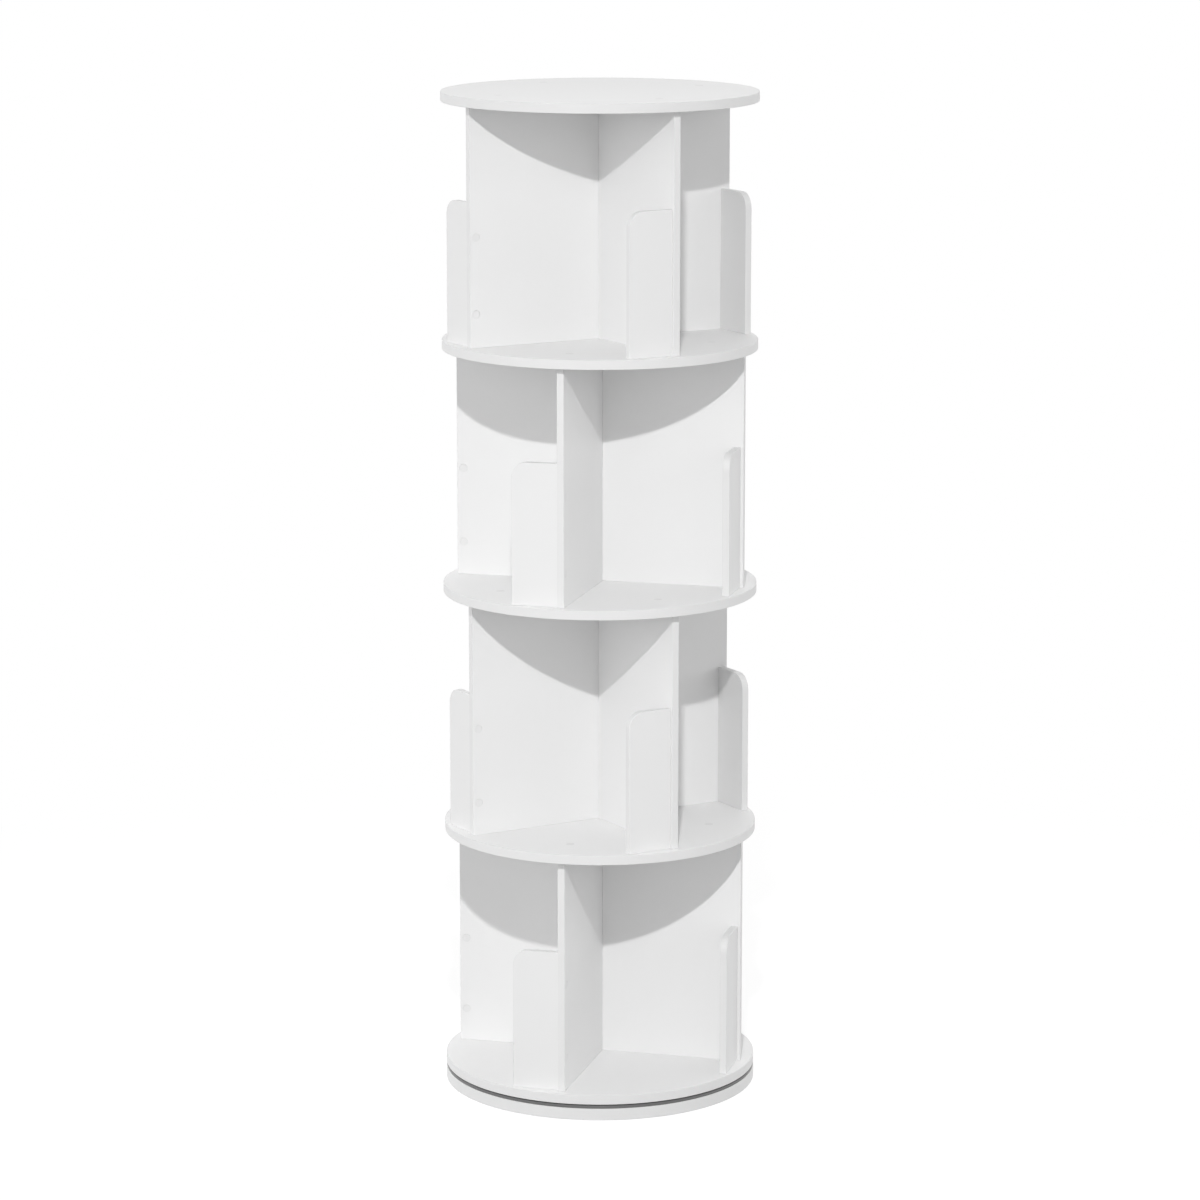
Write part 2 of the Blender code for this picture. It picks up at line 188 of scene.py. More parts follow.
# White studio: bright walls at the left, right and back, a dim one behind the camera, and a hanging lamp
FRONT_WALL_LIGHT = 0.44
LEFT_WALL_LIGHT = 3.00
RIGHT_WALL_LIGHT = 1.92
BACK_WALL_LIGHT = 3.00
CEILING_LIGHT = 0.32
LAMP_POWER = 146.0
LAMP_SIZE = 0.14
LAMP_DISTANCE = 3.38
LAMP_HEIGHT = 2.94
LAMP_TURN = math.radians(-0.9)

# Floor: what it sends back up, how it looks near the object, and where its shadow fades into plain white
FLOOR_RADIUS = 9.0
FLOOR_BOUNCE = 0.45
FLOOR_SHADE = 0.30
FLOOR_SHADE_SPREAD = 0.01
FLOOR_GLOW = 0.765
FADE_START = 0.5
FADE_END = 1.6

# Camera, at the photograph's place and pointed at the middle of its frame
VIEW_TURN = math.radians(15)
CAMERA_DISTANCE = 5.499
CAMERA_HEIGHT = 1.732
AIM_HEIGHT = 0.6303
CAMERA_LENS = 131.48


def grey(level):
    return (level, level, level, 1)


class Wire:
    """A node's output. Sums and products of wires add Math nodes to their finish."""

    def __init__(self, finish, socket):
        self.finish = finish
        self.socket = socket

    def other(self, name):
        """Another output of the same node."""
        return Wire(self.finish, self.socket.node.outputs[name])

    def maths(self, operation, *terms):
        return self.finish.node("ShaderNodeMath", {"operation": operation}, dict(enumerate(terms)))

    def __add__(self, term):
        return self.maths("ADD", self, term)

    def __radd__(self, term):
        return self.maths("ADD", term, self)

    def __sub__(self, term):
        return self.maths("SUBTRACT", self, term)

    def __rsub__(self, term):
        return self.maths("SUBTRACT", term, self)

    def __mul__(self, term):
        return self.maths("MULTIPLY", self, term)

    def __rmul__(self, term):
        return self.maths("MULTIPLY", term, self)

    def __truediv__(self, term):
        return self.maths("DIVIDE", self, term)

    def __rtruediv__(self, term):
        return self.maths("DIVIDE", term, self)

    def __gt__(self, term):
        return self.maths("GREATER_THAN", self, term)

    def larger(self, term):
        return self.maths("MAXIMUM", self, term)

    def clamped(self):
        return self.finish.node("ShaderNodeClamp", None, {"Value": self})

    def swing(self, amount):
        """Noise from 0 to 1, as a swing about zero of this amount in all."""
        return (self - 0.5) * amount


class Finish:
    """The nodes of one material or world, added one at a time."""

    def __init__(self, owner):
        owner.use_nodes = True
        self.tree = owner.node_tree
        self.tree.nodes.clear()

    def node(self, kind, settings=None, sockets=None, output=0):
        """Adds a node: first its settings, then the values or links of its sockets."""
        made = self.tree.nodes.new(kind)
        for name, value in (settings or {}).items():
            setattr(made, name, value)
        for name, value in (sockets or {}).items():
            if isinstance(value, Wire):
                self.tree.links.new(value.socket, made.inputs[name])
            else:
                made.inputs[name].default_value = value
        return Wire(self, made.outputs[output] if made.outputs else None)

    def place(self):
        """The spot on the piece, in its own coordinates."""
        return self.node("ShaderNodeTexCoord", output="Object")

    def noise(self, scale, detail):
        """Soft noise from 0 to 1, with about this many bumps to the metre."""
        sockets = {"Vector": self.place(), "Scale": scale, "Detail": detail, "Roughness": 0.5}
        return self.node("ShaderNodeTexNoise", {"noise_dimensions": "3D"}, sockets)

    def flakes(self, scale):
        """Cells with soft slopes, about this many to the metre."""
        sockets = {"Vector": self.place(), "Scale": scale}
        return self.node("ShaderNodeTexVoronoi", {"feature": "F1"}, sockets)

    def between(self, share, first, second):
        """A colour between two colours."""
        sockets = {"Factor": share, 6: first, 7: second}
        return self.node("ShaderNodeMix", {"data_type": "RGBA"}, sockets, output=2)

    def shades(self, share, level, spread):
        """A grey that drifts about a level, up to a spread either way."""
        return self.between(share, grey(level - spread), grey(level + spread))

    def bump(self, height, strength, distance):
        sockets = {"Strength": strength, "Distance": distance, "Height": height}
        return self.node("ShaderNodeBump", None, sockets)

    def matt(self, level):
        """A grey surface without any shine."""
        return self.node("ShaderNodeBsdfDiffuse", None, {"Color": grey(level)})

    def glow(self, strength):
        """A surface that gives white light."""
        return self.node("ShaderNodeEmission", None, {"Color": grey(1), "Strength": strength})

    def backdrop(self, strength):
        """White light from far away."""
        return self.node("ShaderNodeBackground", None, {"Color": grey(1), "Strength": strength})

    def both(self, first, second):
        """The light of two shaders together."""
        return self.node("ShaderNodeAddShader", None, {0: first, 1: second})

    def mixed(self, share, first, second):
        """A shader between two shaders."""
        return self.node("ShaderNodeMixShader", None, {0: share, 1: first, 2: second})

    def seen_directly(self):
        """1 for what the camera sees, also in mirrors or through glass, and 0 for light on the object."""
        path = self.node("ShaderNodeLightPath", output="Is Camera Ray")
        return path.larger(path.other("Is Glossy Ray")).larger(path.other("Is Transmission Ray"))


def new_finish(name):
    """A new material and its empty nodes."""
    material = bpy.data.materials.new(name)
    return material, Finish(material)


def surfaced(finish, **sockets):
    """Ends a finish with one Principled shader. Underscores in the names stand for blanks."""
    named = {name.replace("_", " "): value for name, value in sockets.items()}
    shader = finish.node("ShaderNodeBsdfPrincipled", None, named)
    finish.node("ShaderNodeOutputMaterial", None, {"Surface": shader})


def board_face_finish(name, white):
    """White laminate: a pearled surface, faintly cloudy in the white."""
    material, finish = new_finish(name)
    cloud = finish.noise(scale=8, detail=3)
    fleck = finish.noise(scale=520, detail=3)
    tone = (cloud * 0.6 + fleck * 0.4).clamped()
    pearl = finish.noise(scale=1500, detail=2) * 0.6 + finish.noise(scale=210, detail=2)
    surfaced(
        finish,
        Base_Color=finish.shades(tone, white, spread=0.012),
        Roughness=0.50 + fleck.swing(0.12) + cloud.swing(0.06),
        Specular_IOR_Level=0.3,
        Normal=finish.bump(pearl, strength=0.12, distance=0.0003),
    )
    return material


def edge_band_finish():
    """White edge band: smoother than the faces, with a fine grain, and a shade darker than them as painted
    shade on the edges and ends.
    """
    material, finish = new_finish("white_edge_band")
    cloud = finish.noise(scale=22, detail=2)
    grain = finish.noise(scale=760, detail=3)
    surfaced(
        finish,
        Base_Color=finish.shades(cloud, BAND_PAINTED_SHADE_WHITE, spread=0.010),
        Roughness=0.42 + grain.swing(0.14),
        Specular_IOR_Level=0.3,
        Normal=finish.bump(grain, strength=0.10, distance=0.0003),
    )
    return material


def cap_finish(name, white):
    """White moulded plastic, a shade darker than the boards. The shelf caps' darker white is painted
    shade.
    """
    material, finish = new_finish(name)
    cloud = finish.noise(scale=70, detail=2)
    grain = finish.noise(scale=1900, detail=2)
    surfaced(
        finish,
        Base_Color=finish.shades(cloud, white, spread=0.012),
        Roughness=0.44 + grain.swing(0.16),
        Specular_IOR_Level=0.4,
        Normal=finish.bump(grain, strength=0.15, distance=0.0002),
    )
    return material


def zinc_finish():
    """Zinc plated steel: dull flakes of plating, with fine scuffs in the shine."""
    material, finish = new_finish("zinc_plated_steel")
    cloud = finish.noise(scale=60, detail=3)
    scuffs = finish.noise(scale=1300, detail=3)
    tone = (finish.flakes(scale=420) * 0.5 + cloud * 0.5).clamped()
    surfaced(
        finish,
        Base_Color=finish.between(tone, ZINC_BRIGHT, ZINC_DULL),
        Metallic=1.0,
        Roughness=0.30 + scuffs.swing(0.22) + cloud.swing(0.12),
        Normal=finish.bump(scuffs, strength=0.08, distance=0.0002),
    )
    return material


def ball_finish():
    """Polished steel of the balls, with a film of grease that dulls it in patches."""
    material, finish = new_finish("polished_ball_steel")
    film = finish.noise(scale=500, detail=2)
    surfaced(
        finish,
        Base_Color=finish.between(film, BALL_BRIGHT, BALL_GREASED),
        Metallic=1.0,
        Roughness=0.08 + film * 0.18,
    )
    return material


def ring_finish():
    """Dark grey satin plastic, with a faint moulded grain."""
    material, finish = new_finish("dark_grey_plastic")
    cloud = finish.noise(scale=30, detail=2)
    grain = finish.noise(scale=900, detail=3)
    surfaced(
        finish,
        Base_Color=finish.shades(cloud, RING_GREY, spread=0.015),
        Roughness=0.38 + grain.swing(0.2),
        Normal=finish.bump(grain, strength=0.12, distance=0.0002),
    )
    return material


# Finishes. A board has its faces first and its edge band second
BAND = edge_band_finish()
BOARD_FINISHES = (board_face_finish("white_laminate_face", BOARD_WHITE), BAND)
# The fences wear the laminate in a darker white, which is painted shade
FENCE_PAINTED_SHADE_FINISHES = (board_face_finish("fence_face_painted_shade", FENCE_PAINTED_SHADE_WHITE), BAND)
DIVIDER_CAP = cap_finish("white_divider_cap", DIVIDER_CAP_WHITE)
# The shelf caps wear a darker white, which is painted shade
SHELF_CAP_PAINTED_SHADE = cap_finish("shelf_cap_painted_shade", SHELF_CAP_PAINTED_SHADE_WHITE)
ZINC = zinc_finish()
BALL = ball_finish()
RING = ring_finish()


def tier_turn(tier):
    """How far a tier's cross is turned: every second one, by half the angle between two arms."""
    return (tier - LOWEST_TIER) % 2 * TIER_TURN


def arm_angles(tier):
    """The directions of a tier's four arms."""
    return [tier_turn(tier) + arm * QUARTER_TURN for arm in range(ARM_COUNT)]


def numbered(stem):
    """The names of the four nodes that stand one on each arm."""
    return [f"{stem}_{number}" for number in range(1, ARM_COUNT + 1)]


def tier_floor(tier):
    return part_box(SHELVES[tier - 1])[1].z


def tier_ceiling(tier):
    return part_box(SHELVES[tier])[0].z


def turned_to(angle, spot=0.0, height=0.0, flip=False):
    """Places what was made along +X: moved out along X, set at its height and turned about Z."""
    matrix = Matrix.Rotation(angle, 4, "Z") @ Matrix.Translation((spot, 0, height))
    if flip:
        matrix = matrix @ Matrix.Rotation(HALF_TURN, 4, "X")
    return matrix


def on_arms(tier, spot, height=0.0, flip=False):
    """The same place on each of a tier's arms."""
    return [turned_to(angle, spot, height, flip) for angle in arm_angles(tier)]


def lifted(places, height):
    """The same places, moved along their own Z."""
    return [place @ Matrix.Translation(height * UP) for place in places]


def fence_screw_places(angles, floor=0.0):
    """Places on the arms' far faces, where Z points out of the face, for the screws into the fences."""
    places = []
    for angle in angles:
        for rise in FENCE_SCREW_HEIGHTS:
            place = turned_to(angle, FENCE_MIDDLE, floor + rise)
            places.append(place @ Matrix.Rotation(-QUARTER_TURN, 4, "X"))
    return lifted(places, DIVIDER_HALF)


def arc(centre, radius, start, end, steps):
    """Points of an outline along an arc, with both of its ends."""
    angles = [start + (end - start) * step / steps for step in range(steps + 1)]
    return [(centre[0] + radius * math.cos(a), centre[1] + radius * math.sin(a)) for a in angles]


def ring_of(radius, height, segments):
    """Points round Z. The radius is a number, or a function of the angle."""
    angles = [math.tau * step / segments for step in range(segments)]
    reach = radius if callable(radius) else lambda angle: radius
    return [Vector((reach(a) * math.cos(a), reach(a) * math.sin(a), height)) for a in angles]


def skinned(rings, closed=False):
    """A bmesh skinned over rings of points. An open one is capped flat at both ends."""
    bm = bmesh.new()
    loops = [[bm.verts.new(point) for point in ring] for ring in rings]
    pairs = list(zip(loops, loops[1:]))
    if closed:
        pairs.append((loops[-1], loops[0]))
    else:
        bm.faces.new(reversed(loops[0]))
        bm.faces.new(loops[-1])
    for lower, upper in pairs:
        for near in range(len(lower)):
            far = (near + 1) % len(lower)
            bm.faces.new((lower[near], lower[far], upper[far], upper[near]))
    return bm


def turned(profile, segments, closed=False):
    """A bmesh turned about Z from (radius, height) points, which run up the outside."""
    return skinned([ring_of(radius, height, segments) for radius, height in profile], closed)


def slab(outline, push):
    """A bmesh of a flat outline of points, pushed along a vector."""
    bm = bmesh.new()
    face = bm.faces.new([bm.verts.new(point) for point in outline])
    grown = bmesh.ops.extrude_face_region(bm, geom=[face])
    moved = [item for item in grown["geom"] if isinstance(item, bmesh.types.BMVert)]
    bmesh.ops.translate(bm, verts=moved, vec=push)
    return bm


def round_edges(bm, edges):
    bmesh.ops.bevel(
        bm, geom=edges, offset=EDGE_ROUND, segments=ROUND_STEPS, profile=ROUND_PROFILE, affect="EDGES"
    )
    bmesh.ops.recalc_face_normals(bm, faces=bm.faces)


def give_band(bm, thickness_way):
    """Gives the edge band to every face of a board that doesn't look along its thickness."""
    for face in bm.faces:
        face.material_index = int(abs(face.normal.dot(thickness_way)) < 1 - BOARD_SKEW)


def made_mesh(name, bm):
    """A mesh with its faces pointing out, smooth where it is round and sharp at its corners."""
    bmesh.ops.recalc_face_normals(bm, faces=bm.faces)
    mesh = bpy.data.meshes.new(name)
    bm.to_mesh(mesh)
    bm.free()
    return shaded(mesh)


def shaded(mesh):
    mesh.shade_smooth()
    mesh.set_sharp_from_angle(angle=SHARP_ANGLE)
    return mesh


def copies(name, mesh, places):
    """One mesh of copies of another, one at each place."""
    meshes = []
    for place in places:
        copy = mesh.copy()
        copy.transform(place)
        meshes.append(copy)
    return gathered(name, meshes)


def gathered(name, meshes):
    """One mesh of several that keep their places."""
    bm = bmesh.new()
    for mesh in meshes:
        bm.from_mesh(mesh)
        bpy.data.meshes.remove(mesh)
    return made_mesh(name, bm)


def boolean(mesh, tool, operation="DIFFERENCE"):
    """The mesh after one exact Boolean with a tool mesh in the same place."""
    body = bpy.data.objects.new("body", mesh)
    cutter = bpy.data.objects.new("cutter", tool)
    for item in (body, cutter):
        bpy.context.scene.collection.objects.link(item)
    step = body.modifiers.new("cut", "BOOLEAN")
    step.operation = operation
    step.solver = "EXACT"
    step.object = cutter
    view = bpy.context.evaluated_depsgraph_get()
    result = bpy.data.meshes.new_from_object(body.evaluated_get(view))
    result.name = mesh.name
    for item in (body, cutter):
        bpy.data.objects.remove(item)
    return shaded(result)


def add_piece(name, mesh, body, finishes, nodes=()):
    """A piece that rides on a body, wears its finishes and hides the nodes that it stands for."""
    piece = bpy.data.objects.new(name, mesh)
    bpy.context.scene.collection.objects.link(piece)
    for finish in finishes:
        mesh.materials.append(finish)
    even = piece.modifiers.new("even_shading", "WEIGHTED_NORMAL")
    even.keep_sharp = True
    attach(piece, body)
    if nodes:
        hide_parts(*nodes)


def screw_hole(screw, sink, depth):
    """A cutter down -Z from a board's face: the cap's seat, the head's bore and the shank's hole."""
    seat = -CAP_SINK - CAP_FLANGE - CAP_PLAY
    shank = screw.diameter / 2 + HOLE_PLAY
    head = screw.head / 2 + HOLE_PLAY
    profile = [
        (shank, -depth),
        (shank, -sink),
        (head, -sink),
        (head, seat),
        (CAP_RADIUS + CAP_PLAY, seat),
        (CAP_RADIUS + CAP_PLAY, CAP_FLANGE),
    ]
    return made_mesh("screw_hole", turned(profile, CAP_SEGMENTS))


def pilot_hole(screw, top, bottom):
    """A plain hole for a shank along Z."""
    radius = screw.diameter / 2 + HOLE_PLAY
    return made_mesh("pilot_hole", turned([(radius, bottom), (radius, top)], CAP_SEGMENTS))


def screw_mesh(screw):
    """A screw down -Z with its head's seat on Z = 0, a rolled thread and a hexagon socket."""
    crest = screw.diameter / 2
    core = crest * THREAD_CORE
    tip_length = screw.diameter

    def thread(height):
        """Radius of the thread at a height, as a function of the angle. It narrows towards the tip."""
        from_tip = (screw.length + height) / tip_length
        narrowing = min(1.0, THREAD_TIP + (1 - THREAD_TIP) * from_tip)

        def radius(angle):
            phase = (height / screw.pitch + angle / math.tau) % 1
            ridge = max(0.0, 1 - abs(phase - 0.5) / THREAD_HALF_RIDGE)
            return narrowing * (core + (crest - core) * ridge)

        return radius

    rows = round(screw.length / screw.pitch * THREAD_ROWS)
    heights = [-screw.length * (1 - row / rows) for row in range(rows)]
    rings = [ring_of(thread(height), height, SCREW_SEGMENTS) for height in heights]
    head = screw.head / 2
    top = screw.head_height
    rounding = arc((head - HEAD_ROUND, top - HEAD_ROUND), HEAD_ROUND, 0, QUARTER_TURN, ROUND_STEPS)
    for radius, height in [(core, 0), (head, 0), *rounding]:
        rings.append(ring_of(radius, height, SCREW_SEGMENTS))
    corner = SOCKET_WIDTH / 2 / math.cos(math.pi / SOCKET_SIDES)
    socket = turned([(corner, top - SOCKET_DEPTH), (corner, top + SOCKET_DEPTH)], SOCKET_SIDES)
    return boolean(made_mesh("screw", skinned(rings)), made_mesh("socket", socket))


def cap_mesh():
    """A push-in cap with its face on Z = 0, a soft edge and a short stem."""
    edge = arc((CAP_RADIUS - CAP_ROUND, -CAP_ROUND), CAP_ROUND, 0, QUARTER_TURN, ROUND_STEPS)
    profile = [
        (CAP_STEM_RADIUS, -CAP_FLANGE - CAP_STEM),
        (CAP_STEM_RADIUS, -CAP_FLANGE),
        (CAP_RADIUS, -CAP_FLANGE),
        *edge,
        (CAP_RADIUS - 2 * CAP_ROUND, 0),
    ]
    return made_mesh("cap", turned(profile, CAP_SEGMENTS))


def head_seat(node, screw):
    """Height of the head's seat of a screw that points up."""
    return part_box(node)[0].z + screw.head_height


def round_board(node):
    """A round board with a rounded rim, whose edge band wraps just over both faces."""
    low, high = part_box(node)
    inner = BOARD_RADIUS - RIM_ROUND
    profile = [
        (BOARD_RADIUS - BAND_WIDTH, low.z),
        *arc((inner, low.z + RIM_ROUND), RIM_ROUND, -QUARTER_TURN, 0, ROUND_STEPS),
        *arc((inner, high.z - RIM_ROUND), RIM_ROUND, 0, QUARTER_TURN, ROUND_STEPS),
        (BOARD_RADIUS - BAND_WIDTH, high.z),
    ]
    bm = turned(profile, BOARD_SEGMENTS)
    for face in bm.faces:
        face.material_index = int(face.calc_center_median().xy.length > BOARD_RADIUS - BAND_WIDTH)
    return made_mesh(node, bm)


def base_bolt_holes():
    """Cutters up through the base, with wide mouths for the sunk bolt heads."""
    low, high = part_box("base_board")
    shank = BASE_BOLT.diameter / 2 + HOLE_PLAY
    head = BASE_BOLT.head / 2 + HOLE_PLAY
    seat = head_seat("base_bolt_1", BASE_BOLT)
    profile = [(head, low.z - seat), (head, seat), (shank, seat), (shank, high.z + seat)]
    hole = made_mesh("bolt_hole", turned(profile, CAP_SEGMENTS))
    return copies("bolt_holes", hole, on_arms(LOWEST_TIER, BASE_BOLT_SPOT))


def plate_screw_holes():
    """Cutters for blind holes in the underside of the bottom shelf."""
    low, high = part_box("turntable_screw_1")
    hole = pilot_hole(PLATE_SCREW, high.z + HOLE_PLAY, low.z)
    return copies("plate_screw_holes", hole, on_arms(LOWEST_TIER, PLATE_SCREW_SPOT))


def shelf_screw_holes(level, node):
    """Cutters for the screws down into the tier under a shelf, and up into the tier over it."""
    low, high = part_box(node)
    hole = screw_hole(SHELF_SCREW, SHELF_HEAD_SINK, THROUGH_CUT * (high.z - low.z))
    tier_under = level
    tier_over = level + 1
    places = []
    if tier_under in TIERS:
        places += on_arms(tier_under, SHELF_SCREW_SPOT, high.z)
    if tier_over in TIERS:
        places += on_arms(tier_over, SHELF_SCREW_SPOT, low.z, flip=True)
    return copies("shelf_screw_holes", hole, places)


def build_round_boards():
    """The base, the shelves and the top, drilled for the screws that go through them."""
    base = boolean(round_board("base_board"), base_bolt_holes())
    add_piece("white_base_board", base, "base", BOARD_FINISHES, ["base_board"])
    for level, node in enumerate(SHELVES):
        board = boolean(round_board(node), shelf_screw_holes(level, node))
        if node == "bottom_shelf":
            board = boolean(board, plate_screw_holes())
        add_piece(f"white_{node}", board, "carousel", BOARD_FINISHES, [node])


def divider_board(height, slot_from_top):
    """A board of a cross along X, standing on Z = 0, with its outer ends rounded and its slot cut."""
    half_slot = DIVIDER_HALF + SEAM
    middle = height / 2
    outline = [
        (-DIVIDER_REACH, 0),
        (DIVIDER_REACH, 0),
        (DIVIDER_REACH, height),
        (half_slot, height),
        (half_slot, middle),
        (-half_slot, middle),
        (-half_slot, height),
        (-DIVIDER_REACH, height),
    ]
    if not slot_from_top:
        outline = [(along, height - up) for along, up in reversed(outline)]
    points = [(along, -DIVIDER_HALF, up) for along, up in outline]
    bm = slab(points, 2 * DIVIDER_HALF * ALONG_Y)
    upright_ends = [
        edge
        for edge in bm.edges
        if all(abs(v.co.x) > DIVIDER_REACH - SEAM for v in edge.verts)
        and abs(edge.verts[0].co.z - edge.verts[1].co.z) > middle
    ]
    round_edges(bm, upright_ends)
    give_band(bm, ALONG_Y)
    return made_mesh("divider", bm)


def divider_holes(height):
    """Cutters for the screws that enter a divider: from both shelves, and through to its fences."""
    depth = SHELF_SCREW.length
    ends = pilot_hole(SHELF_SCREW, depth, SHELF_HEAD_SINK - depth)
    through = screw_hole(FENCE_SCREW, FENCE_HEAD_SINK, THROUGH_CUT * 2 * DIVIDER_HALF)
    angles = (0, HALF_TURN)
    upright = [turned_to(angle, SHELF_SCREW_SPOT, up) for angle in angles for up in (0, height)]
    lying = fence_screw_places(angles)
    return gathered("divider_holes", [copies("ends", ends, upright), copies("through", through, lying)])


def build_dividers():
    """The two slotted boards of each tier's cross."""
    for tier in TIERS:
        height = tier_ceiling(tier) - tier_floor(tier) - 2 * SEAM
        for label, slot_from_top, turn in (("slot_up", True, 0.0), ("slot_down", False, QUARTER_TURN)):
            board = boolean(divider_board(height, slot_from_top), divider_holes(height))
            board.transform(turned_to(tier_turn(tier) + turn, 0.0, tier_floor(tier) + SEAM))
            node = f"tier_{tier}_divider_{label}"
            add_piece(f"white_{node}", board, "carousel", BOARD_FINISHES, [node])


def fence_board():
    """A fence beside the arm along +X, standing on Z = 0, its free corner and edges rounded."""
    root = -DIVIDER_HALF - SEAM
    free_end = FENCE_LOW.y
    corner = (free_end + FENCE_CORNER, FENCE_HEIGHT - FENCE_CORNER)
    outline = [
        (free_end, 0),
        (root, 0),
        (root, FENCE_HEIGHT),
        *arc(corner, FENCE_CORNER, QUARTER_TURN, HALF_TURN, CORNER_STEPS),
    ]
    points = [(FENCE_LOW.x, across, up) for across, up in outline]
    bm = slab(points, (FENCE_HIGH.x - FENCE_LOW.x) * ALONG_X)
    free_edges = [
        edge
        for edge in bm.edges
        if abs(edge.verts[0].co.x - edge.verts[1].co.x) < SEAM
        and any(v.co.y < root - SEAM for v in edge.verts)
        and any(v.co.z > SEAM for v in edge.verts)
    ]
    round_edges(bm, free_edges)
    give_band(bm, ALONG_X)
    hole = pilot_hole(FENCE_SCREW, 0, -FENCE_HEAD_SINK - FENCE_SCREW.length)
    return boolean(made_mesh("fence", bm), copies("holes", hole, fence_screw_places([0])))


def build_fences():
    """The low fences, one beside each arm."""
    fence = fence_board()
    for tier in TIERS:
        for node, angle in zip(numbered(f"tier_{tier}_fence"), arm_angles(tier)):
            board = fence.copy()
            board.transform(turned_to(angle, 0.0, tier_floor(tier) + SEAM))
            add_piece(f"white_{node}", board, "carousel", FENCE_PAINTED_SHADE_FINISHES, [node])


def build_fixings():
    """The screws of every tier, and the white caps over their heads."""
    shelf_screw = screw_mesh(SHELF_SCREW)
    fence_screw = screw_mesh(FENCE_SCREW)
    cap = cap_mesh()
    for tier in TIERS:
        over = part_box(SHELVES[tier])[1].z
        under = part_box(SHELVES[tier - 1])[0].z
        down = on_arms(tier, SHELF_SCREW_SPOT, over)
        up = on_arms(tier, SHELF_SCREW_SPOT, under, flip=True)
        across = fence_screw_places(arm_angles(tier), tier_floor(tier))
        sets = (
            ("upper", shelf_screw, SHELF_HEAD_SINK, down, SHELF_CAP_PAINTED_SHADE, numbered(f"tier_{tier}_screw")),
            ("lower", shelf_screw, SHELF_HEAD_SINK, up, SHELF_CAP_PAINTED_SHADE, ()),
            ("fence", fence_screw, FENCE_HEAD_SINK, across, DIVIDER_CAP, ()),
        )
        for label, screw, sink, places, cap_plastic, nodes in sets:
            screws = copies("screws", screw, lifted(places, HEAD_PLAY - sink))
            add_piece(f"tier_{tier}_{label}_screws", screws, "carousel", [ZINC], nodes)
            caps = copies("caps", cap, lifted(places, -CAP_SINK))
            add_piece(f"tier_{tier}_{label}_caps", caps, "carousel", [cap_plastic])


def ring_corners(inner, outer, low, high, radius):
    """The four rounded corners of a ring's outline: low outside, high outside, high inside, low inside."""
    centres = (
        (outer - radius, low + radius),
        (outer - radius, high - radius),
        (inner + radius, high - radius),
        (inner + radius, low + radius),
    )
    corners = []
    for turn, centre in enumerate(centres):
        corners.append(arc(centre, radius, (turn - 1) * QUARTER_TURN, turn * QUARTER_TURN, ROUND_STEPS))
    return corners


def trim_ring():
    """The grey ring that closes the gap round the turntable, with softened corners."""
    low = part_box("base_board")[1].z + SEAM
    outer = TRIM_RING[1].x
    corners = ring_corners(outer - TRIM_WIDTH, outer, low, TRIM_RING[1].z, TRIM_ROUND)
    profile = [point for corner in corners for point in corner]
    return made_mesh("trim_ring", turned(profile, BOARD_SEGMENTS, closed=True))


def plate_ring(box, inner, outer, screw, spot, race_up):
    """A pressed ring plate with rounded edges, a round-bottomed race and four screw holes."""
    low, high = box[0].z, box[1].z
    reach = math.sqrt(BALL_RADIUS**2 - (BALL_RADIUS - RACE_DEPTH) ** 2) * RACE_SPREAD
    race = []
    for step in range(2 * ROUND_STEPS + 1):
        along = 1 - step / ROUND_STEPS
        race.append((RACE_RADIUS + reach * along, high - RACE_DEPTH * (1 - along**2)))
    corners = ring_corners(inner, outer, low, high, PLATE_ROUND)
    profile = [*corners[0], *corners[1], *race, *corners[2], *corners[3]]
    if not race_up:
        profile = [(radius, low + high - height) for radius, height in reversed(profile)]
    plate = made_mesh("plate", turned(profile, PLATE_SEGMENTS, closed=True))
    hole = pilot_hole(screw, high + RACE_DEPTH, low - RACE_DEPTH)
    return boolean(plate, copies("holes", hole, on_arms(LOWEST_TIER, spot)))


def ball_ring():
    """The balls joined to their flat cage, which has the first finish. The balls have the second."""
    middle = (BALL_RING[0].z + BALL_RING[1].z) / 2
    inner = RACE_RADIUS - CAGE_HALF_WIDTH
    outer = RACE_RADIUS + CAGE_HALF_WIDTH
    low = middle - CAGE_HALF_THICKNESS
    high = middle + CAGE_HALF_THICKNESS
    profile = [(outer, low), (outer, high), (inner, high), (inner, low)]
    cage = made_mesh("cage", turned(profile, PLATE_SEGMENTS, closed=True))
    bm = bmesh.new()
    for ball in range(BALL_COUNT):
        place = turned_to(math.tau * ball / BALL_COUNT, RACE_RADIUS, middle)
        bmesh.ops.create_uvsphere(
            bm,
            u_segments=BALL_SEGMENTS,
            v_segments=BALL_SEGMENTS // 2,
            radius=BALL_RADIUS,
            matrix=place,
        )
    whole = boolean(cage, made_mesh("balls", bm), "UNION")
    for face in whole.polygons:
        rise = abs(face.normal.z)
        face.material_index = int(CAGE_SKEW <= rise <= 1 - CAGE_SKEW)
    return whole


